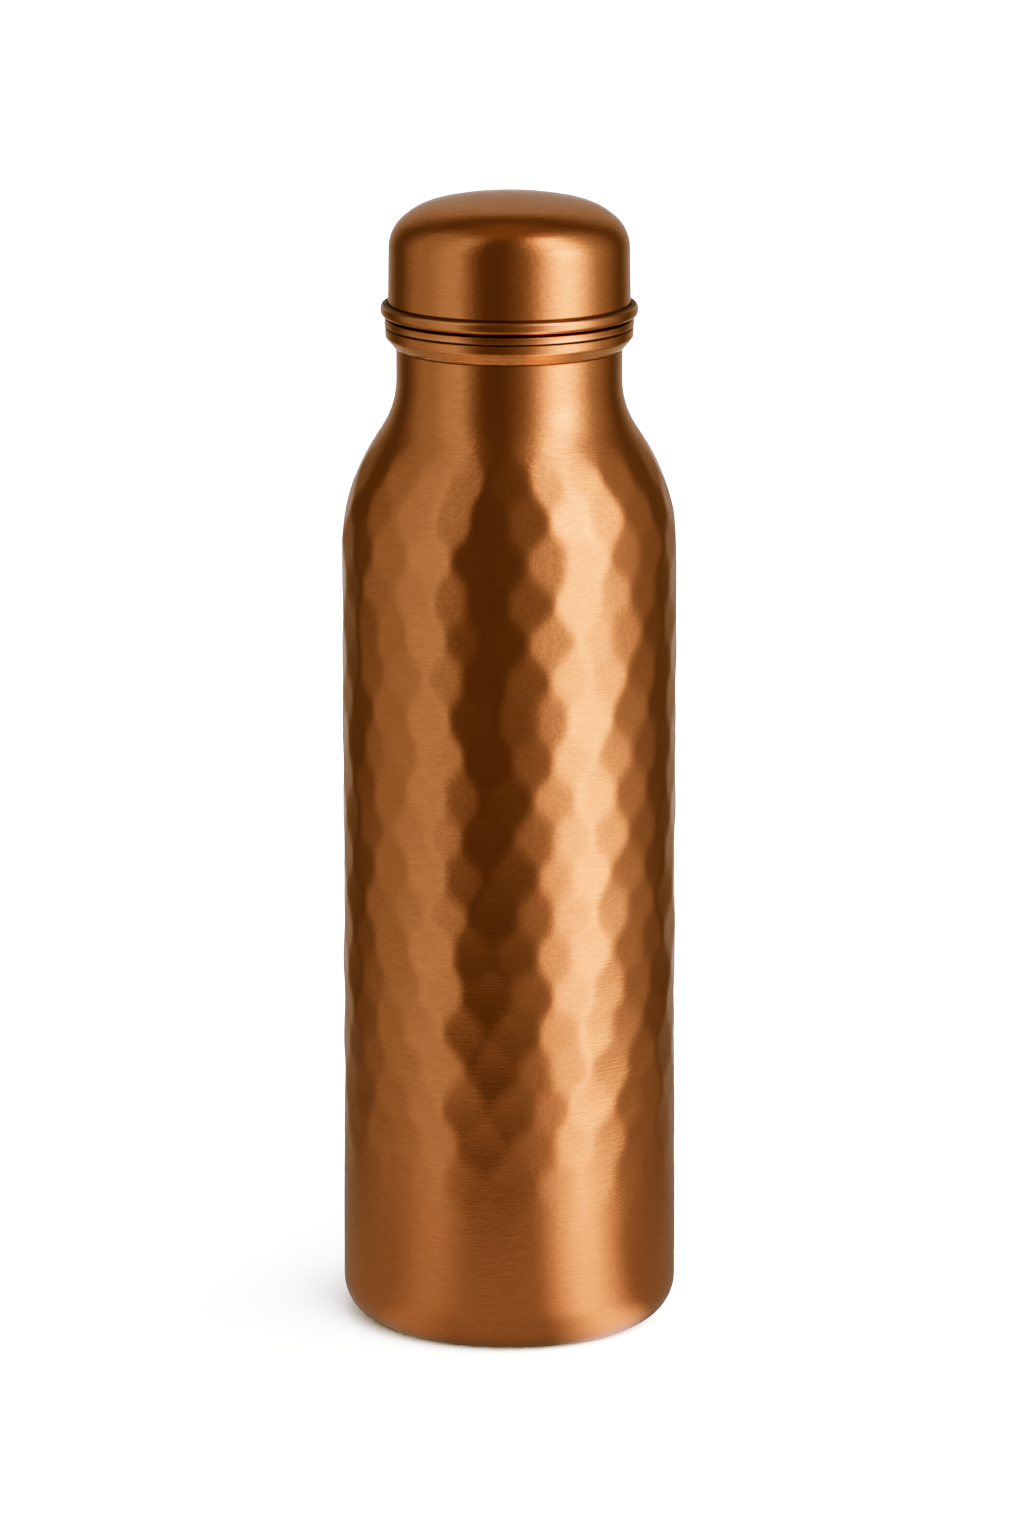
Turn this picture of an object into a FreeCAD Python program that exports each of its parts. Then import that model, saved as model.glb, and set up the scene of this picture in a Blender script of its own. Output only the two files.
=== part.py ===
import FreeCAD, Part
import os
import re
import Sketcher

# A screw-capped water bottle of spun, hammered copper, standing on its foot at z = 0
# with its axis on +Z.  Every piece is turned or spun about that axis.  The hammer marks
# are shallower than the wall and are not cut here: the outlines are the hammered high
# points.  Lengths are in millimetres and angles in degrees.

doc = FreeCAD.newDocument("CopperBottle")
sheet = doc.addObject("Spreadsheet::Sheet", "Sizes")

# Sizes that can be set by themselves.
DRIVING = [
    # Vessel wall: foot, straight wall, shoulder and neck
    ("body_radius", 38.0),
    ("wall_height", 180.4),
    ("shell_wall", 0.5),
    ("base_round", 9.5),
    ("foot_width", 1.2),
    ("foot_round", 1.2),
    ("lap_height", 4.0),
    ("shoulder_round", 42.3),
    ("shoulder_slant", 4.5),
    ("throat_round", 19.9),
    ("neck_radius", 25.5),
    ("neck_height", 12.05),
    # Base plate, brazed inside the turned-up edge of the vessel
    ("plate_wall", 0.7),
    ("plate_skirt", 1.6),
    ("plate_round", 1.5),
    ("plate_rise", 1.6),
    ("plate_lift", 1.4),
    # Ring round the top of the neck
    ("ring_height", 4.9),
    ("ring_stand", 2.45),
    ("ring_face", 1.8),
    ("ring_top_round", 0.5),
    ("ring_turn_round", 1.1),
    ("ring_turn", 40.0),
    ("ring_edge", 0.15),
    # Threaded mouth collar
    ("spigot_depth", 8.0),
    ("spigot_wall", 0.9),
    ("flange_stand", 2.6),
    ("flange_thickness", 1.85),
    ("flange_round", 0.45),
    ("collar_wall", 0.6),
    ("lip_width", 1.3),
    ("lip_height", 1.6),
    ("lip_round", 0.45),
    ("lip_land", 3.8),
    # Thread, right-handed and single-start
    ("thread_pitch", 4.0),
    ("thread_start", 2.25),
    ("collar_turns", 2.0),
    ("insert_turns", 1.5),
    ("ridge_height", 1.1),
    ("ridge_root", 2.4),
    ("ridge_crest", 1.2),
    ("ridge_bite", 0.3),
    # Cap
    ("cap_wall", 0.5),
    ("cap_taper", 0.18),
    ("side_margin", 0.25),
    ("corner_round", 8.9),
    ("corner_turn", 47.6),
    ("crown_round", 16.3),
    ("crown_turn", 77.3),
    ("rim_height", 3.0),
    ("rim_stand", 1.65),
    ("rim_round", 1.2),
    ("skirt_inset", 0.3),
    ("insert_wall", 0.5),
    ("liner_wall", 0.5),
    ("liner_inset", 0.1),
    ("liner_rise", 0.8),
    ("liner_step", 1.6),
    ("gasket_thickness", 1.6),
    ("gasket_width", 3.1),
    ("gasket_round", 0.3),
    # Clearances
    ("braze_gap", 0.05),
    ("thread_clearance", 0.35),
    ("gasket_clearance", 0.3),
    ("rim_gap", 0.5),
]

# Sizes that follow from the driving ones, so that the pieces keep fitting.
WORKED_OUT = [
    # The shoulder turns through the angle that brings wall, slant and throat to the neck
    ("shoulder_sum", "shoulder_round + throat_round"),
    ("shoulder_reach", "shoulder_sum - body_radius + neck_radius"),
    ("shoulder_turn", "acos(shoulder_reach / sqrt(shoulder_sum ^ 2 + shoulder_slant ^ 2))"
                      " - atan(shoulder_slant / shoulder_sum)"),
    ("slant_foot_radius", "body_radius - shoulder_round * (1 - cos(shoulder_turn))"),
    ("slant_foot_z", "wall_height + shoulder_round * sin(shoulder_turn)"),
    ("slant_top_radius", "slant_foot_radius - shoulder_slant * sin(shoulder_turn)"),
    ("slant_top_z", "slant_foot_z + shoulder_slant * cos(shoulder_turn)"),
    ("throat_top_z", "slant_top_z + throat_round * sin(shoulder_turn)"),
    ("wall_across", "shell_wall * cos(shoulder_turn)"),
    ("wall_down", "shell_wall * sin(shoulder_turn)"),
    ("neck_bore", "neck_radius - shell_wall"),
    ("neck_top_z", "throat_top_z + neck_height"),
    ("corner_centre", "body_radius - base_round"),
    ("fold_centre", "corner_centre - foot_width"),
    ("lap_bore", "fold_centre - foot_round"),
    # Base plate
    ("plate_radius", "lap_bore - braze_gap"),
    ("plate_inside", "plate_radius - plate_wall"),
    ("plate_flat", "plate_radius - plate_round"),
    ("plate_edge_z", "plate_skirt + plate_round"),
    ("plate_crown", "(plate_flat ^ 2 + plate_rise ^ 2) / (2 * plate_rise)"),
    ("plate_top_z", "plate_edge_z + plate_rise"),
    # Neck ring
    ("ring_bore", "neck_radius + braze_gap"),
    ("ring_radius", "neck_radius + ring_stand"),
    ("ring_face_z", "ring_height - ring_face"),
    ("ring_seat_z", "neck_top_z - ring_height"),
    # Mouth collar
    ("spigot_radius", "neck_bore - braze_gap"),
    ("mouth_bore", "spigot_radius - spigot_wall"),
    ("thread_root", "mouth_bore + collar_wall"),
    ("thread_crest", "thread_root + ridge_height"),
    ("flange_radius", "neck_radius + flange_stand"),
    ("first_ridge_z", "flange_thickness + thread_start"),
    ("lip_z", "first_ridge_z + thread_pitch * collar_turns + lip_land"),
    ("lip_bore", "thread_root - lip_width"),
    ("lip_slope", "lip_width - collar_wall"),
    # Cap, measured up from the bottom of its rim
    ("cap_seat_z", "neck_top_z + flange_thickness + rim_gap"),
    ("insert_bore", "thread_crest + thread_clearance"),
    ("insert_crest", "insert_bore - ridge_height"),
    ("insert_radius", "insert_bore + insert_wall"),
    ("insert_ridge_z", "thread_start - rim_gap + thread_pitch / 2"),
    ("lip_in_cap_z", "lip_z - flange_thickness - rim_gap"),
    ("insert_top_z", "lip_in_cap_z + gasket_thickness"),
    ("liner_radius", "insert_radius - liner_inset"),
    ("cap_radius", "insert_radius + braze_gap + cap_wall"),
    ("cap_foot_radius", "cap_radius + cap_taper"),
    ("side_top_z", "insert_top_z + side_margin"),
    ("corner_end_radius", "cap_radius - corner_round * (1 - cos(corner_turn))"),
    ("corner_end_z", "side_top_z + corner_round * sin(corner_turn)"),
    ("crown_end_radius", "corner_end_radius - crown_round * (cos(corner_turn) - cos(crown_turn))"),
    ("crown_end_z", "corner_end_z + crown_round * (sin(crown_turn) - sin(corner_turn))"),
    ("dome_round", "crown_end_radius / cos(crown_turn)"),
    ("dome_top_z", "crown_end_z + dome_round * (1 - sin(crown_turn))"),
    ("rim_bore", "cap_foot_radius + braze_gap"),
    ("rim_radius", "cap_foot_radius + rim_stand"),
    ("gasket_radius", "insert_bore - gasket_clearance"),
    ("gasket_bore", "gasket_radius - gasket_width"),
    ("gasket_seat_z", "neck_top_z + lip_z"),
    ("liner_seat_z", "cap_seat_z + insert_top_z"),
    ("liner_seat_radius", "gasket_bore - gasket_round"),
]

row = 0
for alias, value in DRIVING:
    row += 1
    sheet.set(f"A{row}", alias)
    sheet.set(f"B{row}", str(value))
    sheet.setAlias(f"B{row}", alias)
for alias, formula in WORKED_OUT:
    row += 1
    sheet.set(f"A{row}", alias)
    sheet.set(f"B{row}", "=" + formula)
    sheet.setAlias(f"B{row}", alias)
doc.recompute()

ALIASES = [alias for alias, _ in DRIVING + WORKED_OUT]


def bound(formula):
    """A formula of the sheet's aliases, as an expression that other objects can use."""
    def named(match):
        word = match.group(0)
        return "Sizes." + word if word in ALIASES else word
    return re.sub(r"[a-z_]+", named, formula)


def size(formula):
    """The number that a formula of aliases comes to."""
    value = sheet.evalExpression(formula)
    return float(getattr(value, "Value", value))


def new_body(node):
    body = doc.addObject("PartDesign::Body", node)
    body.Label = node
    return body


def lift(body, height):
    """Stand a piece, drawn up from its own seat, at its height on the bottle."""
    body.setExpression("Placement.Base.z", bound(height))


def new_sketch(body, name):
    """A sketch on the body's XZ plane: across is the radius, up is the height."""
    plane = [item for item in body.Origin.OriginFeatures if item.Role == "XZ_Plane"][0]
    sketch = body.newObject("Sketcher::SketchObject", name)
    sketch.AttachmentSupport = [(plane, "")]
    sketch.MapMode = "FlatFace"
    return sketch


def arc_between(start, end, radius, turn):
    """The short arc from start to end, curving to the left or right of the way there."""
    chord = end - start
    half = chord.Length / 2
    side = FreeCAD.Vector(-chord.y, chord.x, 0).normalize()
    if turn == "right":
        side = side * -1
    rise = max(radius ** 2 - half ** 2, 0) ** 0.5
    centre = (start + end) * 0.5 + side * rise
    circle = Part.Circle(centre, FreeCAD.Vector(0, 0, 1), radius)
    first, last = (start, end) if turn == "left" else (end, start)
    return Part.ArcOfCircle(circle, circle.parameter(first), circle.parameter(last))


def hold_point(sketch, edge, spot, across, up):
    """Tie one end of an edge to its radius and its height."""
    places = [("X", across, -2), ("Y", up, -1)]
    for letter, formula, axis in places:
        if formula == "0":
            sketch.addConstraint(Sketcher.Constraint("PointOnObject", edge, spot, axis))
            continue
        value = size(formula)
        constraint = Sketcher.Constraint("Distance" + letter, -1, 1, edge, spot, value)
        number = sketch.addConstraint(constraint)
        sketch.setExpression(f"Constraints[{number}]", bound(formula))


def draw(sketch, outline):
    """Draw a closed outline, anticlockwise.

    Each point is (radius, height), or (radius, height, arc radius, turn) where the way on
    to the next point is an arc that turns left or right."""
    points = [FreeCAD.Vector(size(point[0]), size(point[1]), 0) for point in outline]
    joins = []
    for number, point in enumerate(outline):
        start = points[number]
        end = points[(number + 1) % len(points)]
        if len(point) == 2:
            edge = sketch.addGeometry(Part.LineSegment(start, end), False)
            joins.append((edge, 1, 2))
        else:
            arc = arc_between(start, end, size(point[2]), point[3])
            edge = sketch.addGeometry(arc, False)
            radius = sketch.addConstraint(Sketcher.Constraint("Radius", edge, size(point[2])))
            sketch.setExpression(f"Constraints[{radius}]", bound(point[2]))
            joins.append((edge, 1, 2) if point[3] == "left" else (edge, 2, 1))
    for number, (edge, start, end) in enumerate(joins):
        after, after_start, _ = joins[(number + 1) % len(joins)]
        sketch.addConstraint(Sketcher.Constraint("Coincident", edge, end, after, after_start))
        hold_point(sketch, edge, start, outline[number][0], outline[number][1])


def turned(node, outline):
    """A piece of revolution from its outline."""
    body = new_body(node)
    sketch = new_sketch(body, node + "_outline")
    draw(sketch, outline)
    revolution = body.newObject("PartDesign::Revolution", node + "_turned")
    revolution.Profile = sketch
    revolution.ReferenceAxis = (sketch, ["V_Axis"])
    revolution.Angle = 360
    doc.recompute()
    return body


def add_thread(body, outline, turns):
    """Run a ridge of the outline's section up a right-handed helix."""
    before = body.Shape.Volume
    sketch = new_sketch(body, body.Label + "_ridge")
    draw(sketch, outline)
    doc.recompute()
    helix = body.newObject("PartDesign::AdditiveHelix", body.Label + "_thread")
    helix.Profile = sketch
    helix.ReferenceAxis = (sketch, ["V_Axis"])
    helix.Mode = "pitch-height-angle"
    helix.setExpression("Pitch", bound("thread_pitch"))
    helix.setExpression("Height", bound("thread_pitch * " + turns))
    doc.recompute()
    if body.Shape.Volume <= before:
        raise ValueError(body.Label + ": the thread added nothing")


def body_shell():
    """Vessel wall, from the edge lapped up inside the foot to the top of the neck."""
    outline = [
        ("fold_centre", "0"),
        ("corner_centre", "0", "base_round", "left"),
        ("body_radius", "base_round"),
        ("body_radius", "wall_height", "shoulder_round", "left"),
        ("slant_foot_radius", "slant_foot_z"),
        ("slant_top_radius", "slant_top_z", "throat_round", "right"),
        ("neck_radius", "throat_top_z"),
        ("neck_radius", "neck_top_z"),
        ("neck_bore", "neck_top_z"),
        ("neck_bore", "throat_top_z", "throat_round + shell_wall", "left"),
        ("slant_top_radius - wall_across", "slant_top_z - wall_down"),
        ("slant_foot_radius - wall_across", "slant_foot_z - wall_down",
         "shoulder_round - shell_wall", "right"),
        ("body_radius - shell_wall", "wall_height"),
        ("body_radius - shell_wall", "base_round", "base_round - shell_wall", "right"),
        ("corner_centre", "shell_wall"),
        ("fold_centre", "shell_wall", "foot_round - shell_wall", "right"),
        ("lap_bore + shell_wall", "foot_round"),
        ("lap_bore + shell_wall", "lap_height"),
        ("lap_bore", "lap_height"),
        ("lap_bore", "foot_round", "foot_round", "left"),
    ]
    return turned("body_shell", outline)


def base_plate():
    """Domed bottom, its rim turned down into the lapped edge of the vessel."""
    outline = [
        ("plate_inside", "0"),
        ("plate_radius", "0"),
        ("plate_radius", "plate_skirt", "plate_round", "left"),
        ("plate_flat", "plate_edge_z", "plate_crown", "left"),
        ("0", "plate_top_z"),
        ("0", "plate_top_z - plate_wall", "plate_crown", "right"),
        ("plate_flat", "plate_edge_z - plate_wall", "plate_round - plate_wall", "right"),
        ("plate_inside", "plate_skirt"),
    ]
    body = turned("base_plate", outline)
    lift(body, "plate_lift")
    return body


def neck_ring():
    """Ring brazed round the top of the neck, tapering down into it."""
    outline = [
        ("ring_bore", "0"),
        ("ring_bore + ring_edge", "0"),
        ("ring_radius - ring_turn_round * (1 - cos(ring_turn))",
         "ring_face_z - ring_turn_round * sin(ring_turn)", "ring_turn_round", "left"),
        ("ring_radius", "ring_face_z"),
        ("ring_radius", "ring_height - ring_top_round", "ring_top_round", "left"),
        ("ring_radius - ring_top_round", "ring_height"),
        ("ring_bore", "ring_height"),
    ]
    body = turned("neck_ring", outline)
    lift(body, "ring_seat_z")
    return body


def thread_collar():
    """Mouth: a spigot in the neck, a flange on top of it, the thread and the pouring lip."""
    outline = [
        ("mouth_bore", "-spigot_depth"),
        ("spigot_radius", "-spigot_depth"),
        ("spigot_radius", "0"),
        ("flange_radius - flange_round", "0", "flange_round", "left"),
        ("flange_radius", "flange_round"),
        ("flange_radius", "flange_thickness - flange_round", "flange_round", "left"),
        ("flange_radius - flange_round", "flange_thickness"),
        ("thread_root", "flange_thickness"),
        ("thread_root", "lip_z - lip_round", "lip_round", "left"),
        ("thread_root - lip_round", "lip_z"),
        ("lip_bore + lip_round", "lip_z", "lip_round", "left"),
        ("lip_bore", "lip_z - lip_round"),
        ("lip_bore", "lip_z - lip_height"),
        ("mouth_bore", "lip_z - lip_height - lip_slope"),
    ]
    ridge = [
        ("thread_root - ridge_bite", "first_ridge_z - ridge_root / 2"),
        ("thread_root", "first_ridge_z - ridge_root / 2"),
        ("thread_crest", "first_ridge_z - ridge_crest / 2"),
        ("thread_crest", "first_ridge_z + ridge_crest / 2"),
        ("thread_root", "first_ridge_z + ridge_root / 2"),
        ("thread_root - ridge_bite", "first_ridge_z + ridge_root / 2"),
    ]
    body = turned("thread_collar", outline)
    add_thread(body, ridge, "collar_turns")
    lift(body, "neck_top_z")
    return body


def cap_gasket():
    """Soft washer between the pouring lip and the cap's liner."""
    outline = [
        ("gasket_bore + gasket_round", "0"),
        ("gasket_radius - gasket_round", "0", "gasket_round", "left"),
        ("gasket_radius", "gasket_round"),
        ("gasket_radius", "gasket_thickness - gasket_round", "gasket_round", "left"),
        ("gasket_radius - gasket_round", "gasket_thickness"),
        ("gasket_bore + gasket_round", "gasket_thickness", "gasket_round", "left"),
        ("gasket_bore", "gasket_thickness - gasket_round"),
        ("gasket_bore", "gasket_round", "gasket_round", "left"),
    ]
    body = turned("cap_gasket", outline)
    lift(body, "gasket_seat_z")
    return body


def cap_shell():
    """Domed cap, its side flaring slightly down to a straight skirt inside the rim."""
    outline = [
        ("cap_foot_radius - cap_wall", "skirt_inset"),
        ("cap_foot_radius", "skirt_inset"),
        ("cap_foot_radius", "rim_height"),
        ("cap_radius", "side_top_z", "corner_round", "left"),
        ("corner_end_radius", "corner_end_z", "crown_round", "left"),
        ("crown_end_radius", "crown_end_z", "dome_round", "left"),
        ("0", "dome_top_z"),
        ("0", "dome_top_z - cap_wall", "dome_round - cap_wall", "right"),
        ("crown_end_radius - cap_wall * cos(crown_turn)",
         "crown_end_z - cap_wall * sin(crown_turn)", "crown_round - cap_wall", "right"),
        ("corner_end_radius - cap_wall * cos(corner_turn)",
         "corner_end_z - cap_wall * sin(corner_turn)", "corner_round - cap_wall", "right"),
        ("cap_radius - cap_wall", "side_top_z"),
        ("cap_foot_radius - cap_wall", "rim_height"),
    ]
    body = turned("cap_shell", outline)
    lift(body, "cap_seat_z")
    return body


def cap_rim_ring():
    """Rounded ring brazed round the foot of the cap."""
    outline = [
        ("rim_bore", "0"),
        ("rim_radius - rim_round", "0", "rim_round", "left"),
        ("rim_radius", "rim_round"),
        ("rim_radius", "rim_height - rim_round", "rim_round", "left"),
        ("rim_radius - rim_round", "rim_height"),
        ("rim_bore", "rim_height"),
    ]
    body = turned("cap_rim_ring", outline)
    lift(body, "cap_seat_z")
    return body


def cap_thread_insert():
    """Sleeve brazed inside the cap, its thread half a pitch above the collar's."""
    outline = [
        ("insert_bore", "skirt_inset"),
        ("insert_radius", "skirt_inset"),
        ("insert_radius", "insert_top_z"),
        ("insert_bore", "insert_top_z"),
    ]
    ridge = [
        ("insert_crest", "insert_ridge_z - ridge_crest / 2"),
        ("insert_bore", "insert_ridge_z - ridge_root / 2"),
        ("insert_bore + ridge_bite", "insert_ridge_z - ridge_root / 2"),
        ("insert_bore + ridge_bite", "insert_ridge_z + ridge_root / 2"),
        ("insert_bore", "insert_ridge_z + ridge_root / 2"),
        ("insert_crest", "insert_ridge_z + ridge_crest / 2"),
    ]
    body = turned("cap_thread_insert", outline)
    add_thread(body, ridge, "insert_turns")
    lift(body, "cap_seat_z")
    return body


def cap_liner_disc():
    """Pressed disc that closes the top of the sleeve and backs the gasket."""
    outline = [
        ("0", "liner_rise"),
        ("liner_seat_radius - liner_step", "liner_rise"),
        ("liner_seat_radius", "0"),
        ("liner_radius", "0"),
        ("liner_radius", "liner_wall"),
        ("liner_seat_radius", "liner_wall"),
        ("liner_seat_radius - liner_step", "liner_rise + liner_wall"),
        ("0", "liner_rise + liner_wall"),
    ]
    body = turned("cap_liner_disc", outline)
    lift(body, "liner_seat_z")
    return body


def check(pieces):
    """Refuse a failed feature, a broken solid or a thread that runs the wrong way."""
    for item in doc.Objects:
        if "Invalid" in item.State or "Error" in item.State:
            raise ValueError(item.Name + " failed: " + str(item.State))
    for body in pieces:
        shape = body.Shape
        if shape.isNull() or not shape.isValid() or len(shape.Solids) != 1:
            raise ValueError(body.Label + " is not one sound solid")
    quarter = size("neck_top_z + first_ridge_z + thread_pitch / 4")
    on_ridge = FreeCAD.Vector(0, size("thread_crest - ridge_height / 4"), quarter)
    collar = [body for body in pieces if body.Label == "thread_collar"][0]
    if not collar.Shape.isInside(on_ridge, 0.001, True):
        raise ValueError("the thread is not right-handed")


pieces = [
    body_shell(),
    base_plate(),
    neck_ring(),
    thread_collar(),
    cap_gasket(),
    cap_shell(),
    cap_rim_ring(),
    cap_thread_insert(),
    cap_liner_disc(),
]
doc.recompute()
check(pieces)

os.makedirs("parts", exist_ok=True)
for body in pieces:
    body.Shape.exportStep("parts/" + body.Label + ".step")
    box = body.Shape.BoundBox
    print(f"{body.Label}: {body.Shape.Volume:.1f} mm3, z {box.ZMin:.2f} to {box.ZMax:.2f}, "
          f"radius {box.XMax:.2f}")
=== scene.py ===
import math
import random

import bpy
import numpy as np
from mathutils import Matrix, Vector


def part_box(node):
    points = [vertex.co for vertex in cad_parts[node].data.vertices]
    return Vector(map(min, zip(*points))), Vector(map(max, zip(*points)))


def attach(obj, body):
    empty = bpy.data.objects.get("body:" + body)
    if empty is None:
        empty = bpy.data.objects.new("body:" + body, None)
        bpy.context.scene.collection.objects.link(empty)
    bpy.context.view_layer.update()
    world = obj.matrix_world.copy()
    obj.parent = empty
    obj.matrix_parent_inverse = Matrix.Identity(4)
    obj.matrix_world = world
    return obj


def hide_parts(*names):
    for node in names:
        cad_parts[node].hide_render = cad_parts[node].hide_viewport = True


# A hammered copper water bottle, in metres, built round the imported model.  Every piece is
# turned about the Z axis, so each has an outline of (radius, height) points in which a run
# may be an arc.  The vessel's wall is hammered in its mesh, and the threads are raised in
# theirs.

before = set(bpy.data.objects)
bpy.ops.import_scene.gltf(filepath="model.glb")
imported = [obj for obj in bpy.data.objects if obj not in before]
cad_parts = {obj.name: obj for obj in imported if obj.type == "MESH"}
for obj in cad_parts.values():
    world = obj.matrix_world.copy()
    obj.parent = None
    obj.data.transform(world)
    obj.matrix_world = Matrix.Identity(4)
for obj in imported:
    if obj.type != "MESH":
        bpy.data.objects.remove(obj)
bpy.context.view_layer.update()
MM = 0.001


def extent(node):
    """Lowest height, highest height and outer radius of a CAD node."""
    low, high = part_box(node)
    return low.z, high.z, high.x


# ---------------------------------------------------------------- sizes from the frame
_, NECK_TOP, BODY_RADIUS = extent("body_shell")
PLATE_FOOT, PLATE_TOP, PLATE_RADIUS = extent("base_plate")
RING_FOOT, RING_TOP, RING_RADIUS = extent("neck_ring")
SPIGOT_FOOT, LIP_TOP, FLANGE_RADIUS = extent("thread_collar")
GASKET_FOOT, GASKET_TOP, GASKET_RADIUS = extent("cap_gasket")
SKIRT_FOOT, DOME_TOP, CAP_FOOT_RADIUS = extent("cap_shell")
RIM_FOOT, RIM_TOP, RIM_RADIUS = extent("cap_rim_ring")
SLEEVE_FOOT, SLEEVE_TOP, SLEEVE_RADIUS = extent("cap_thread_insert")
LINER_FOOT, LINER_TOP, LINER_RADIUS = extent("cap_liner_disc")

# ---------------------------------------------------------------- sizes of the design
WALL_HEIGHT = 180.4 * MM
SHELL_WALL = 0.5 * MM
BASE_ROUND = 9.5 * MM
FOOT_WIDTH = 1.2 * MM
FOOT_ROUND = 1.2 * MM
LAP_HEIGHT = 4.0 * MM
SHOULDER_ROUND = 42.3 * MM
SHOULDER_SLANT = 4.5 * MM
THROAT_ROUND = 19.9 * MM
NECK_RADIUS = 25.5 * MM
PLATE_WALL = 0.7 * MM
PLATE_ROUND = 1.5 * MM
PLATE_RISE = 1.6 * MM
RING_FACE = 1.8 * MM
RING_TOP_ROUND = 0.5 * MM
RING_TURN_ROUND = 1.1 * MM
RING_TURN = math.radians(40)
RING_EDGE = 0.15 * MM
SPIGOT_WALL = 0.9 * MM
COLLAR_WALL = 0.6 * MM
FLANGE_THICKNESS = 1.85 * MM
FLANGE_ROUND = 0.45 * MM
LIP_WIDTH = 1.3 * MM
LIP_HEIGHT = 1.6 * MM
LIP_ROUND = 0.45 * MM
THREAD_PITCH = 4.0 * MM
THREAD_START = 2.25 * MM
COLLAR_TURNS = 2.0
SLEEVE_TURNS = 1.5
RIDGE_HEIGHT = 1.1 * MM
RIDGE_ROOT = 2.4 * MM
RIDGE_CREST = 1.2 * MM
RIDGE_FADE = math.radians(25)
CAP_WALL = 0.5 * MM
CAP_TAPER = 0.18 * MM
SIDE_MARGIN = 0.25 * MM
CORNER_ROUND = 8.9 * MM
CORNER_TURN = math.radians(47.6)
CROWN_ROUND = 16.3 * MM
CROWN_TURN = math.radians(77.3)
RIM_ROUND = 1.2 * MM
SLEEVE_WALL = 0.5 * MM
LINER_WALL = 0.5 * MM
LINER_STEP = 1.6 * MM
GASKET_WIDTH = 3.1 * MM
GASKET_ROUND = 0.3 * MM
BRAZE_GAP = 0.05 * MM
RIM_GAP = 0.5 * MM

# Hammer marks: rings of shallow dents, every other ring turned by half a dent.  The bends are
# half the curvature of a dent's bowl across and up, per metre.  The sharpness, also per metre,
# is how keenly two bowls meet.
MARKS_ROUND = 24
MARK_RING_STEP = 8.95 * MM
FIRST_MARK_RING = 209.5 * MM
MARK_RINGS = 21
MARK_WIDTH_BEND = 11.5
MARK_HEIGHT_BEND = 7.0
MARK_SHARPNESS = 11000.0
MARK_DEPTH = 0.36 * MM
MARK_SHIFT = 0.75 * MM
MARK_DENT = 0.035 * MM
MARK_TILT = 0.05
MARK_REACH = 15 * MM
MARKS_FADE_LOW = (24 * MM, 58 * MM)
MARKS_FADE_HIGH = (196 * MM, 211 * MM)
MARK_SEED = 26

# Mesh fineness
SHELL_SEGMENTS = 264
SEGMENTS = 192
HAMMERED_STEP = 0.9 * MM
PLAIN_STEP = 2.2 * MM
INSIDE_STEP = 6.0 * MM
COLLAR_STEP = 0.2 * MM
SLEEVE_STEP = 0.25 * MM
ARC_STEP = math.radians(9)

# Small limits: points at one radius, a point on the axis, and a sum kept above nothing
SAME_RADIUS = 1e-7
ON_AXIS = 1e-9
NEVER_ZERO = 1e-30


# ---------------------------------------------------------------- outlines and lathe
def arc_points(start, end, radius, turn, step):
    """Points after start, up to end, on the short arc that turns left or right."""
    (ax, az), (bx, bz) = start, end
    side = 1 if turn == "left" else -1
    chord = math.hypot(bx - ax, bz - az)
    rise = math.sqrt(max(radius ** 2 - chord ** 2 / 4, 0))
    cx = (ax + bx) / 2 - side * (bz - az) / chord * rise
    cz = (az + bz) / 2 + side * (bx - ax) / chord * rise
    first = math.atan2(az - cz, ax - cx)
    sweep = side * 2 * math.asin(min(chord / 2 / radius, 1))
    count = max(2, math.ceil(max(abs(sweep) / ARC_STEP, abs(sweep) * radius / step)))
    angles = [first + sweep * i / count for i in range(1, count + 1)]
    return [(cx + radius * math.cos(a), cz + radius * math.sin(a)) for a in angles]


def sampled(outline, step, closed=True):
    """An outline's points, with its arcs and long straights divided."""
    points = []
    count = len(outline) if closed else len(outline) - 1
    for number in range(count):
        point = outline[number]
        start = point[:2]
        end = outline[(number + 1) % len(outline)][:2]
        if len(point) == 2:
            parts = max(1, math.ceil(math.dist(start, end) / step))
            ways = [i / parts for i in range(1, parts + 1)]
            points += [(start[0] + (end[0] - start[0]) * w, start[1] + (end[1] - start[1]) * w)
                       for w in ways]
        else:
            points += arc_points(start, end, point[2], point[3], step)
    return points


def lathe(name, profile, segments=SEGMENTS, shape=None):
    """A closed mesh turned from the profile; shape(angles, radii, heights) may change radii."""
    radii = np.array([p[0] for p in profile])
    heights = np.array([p[1] for p in profile])
    angles = np.arange(segments) * 2 * math.pi / segments
    if shape is None:
        grid = np.repeat(radii[:, None], segments, axis=1)
    else:
        grid = shape(angles, radii, heights)
    vertices = []
    rows = []
    for number, height in enumerate(heights):
        if radii[number] < ON_AXIS:
            rows.append([len(vertices)] * segments)
            vertices.append((0.0, 0.0, float(height)))
            continue
        rows.append(list(range(len(vertices), len(vertices) + segments)))
        ring = grid[number]
        vertices += zip((ring * np.cos(angles)).tolist(), (ring * np.sin(angles)).tolist(),
                        [float(height)] * segments)
    faces = []
    for number, row in enumerate(rows):
        above = rows[(number + 1) % len(rows)]
        for i in range(segments):
            j = (i + 1) % segments
            corners = list(dict.fromkeys((row[i], row[j], above[j], above[i])))
            if len(corners) > 2:
                faces.append(corners)
    mesh = bpy.data.meshes.new(name)
    mesh.from_pydata(vertices, [], faces)
    mesh.validate()
    mesh.shade_smooth()
    piece = bpy.data.objects.new(name, mesh)
    bpy.context.scene.collection.objects.link(piece)
    return piece


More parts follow.
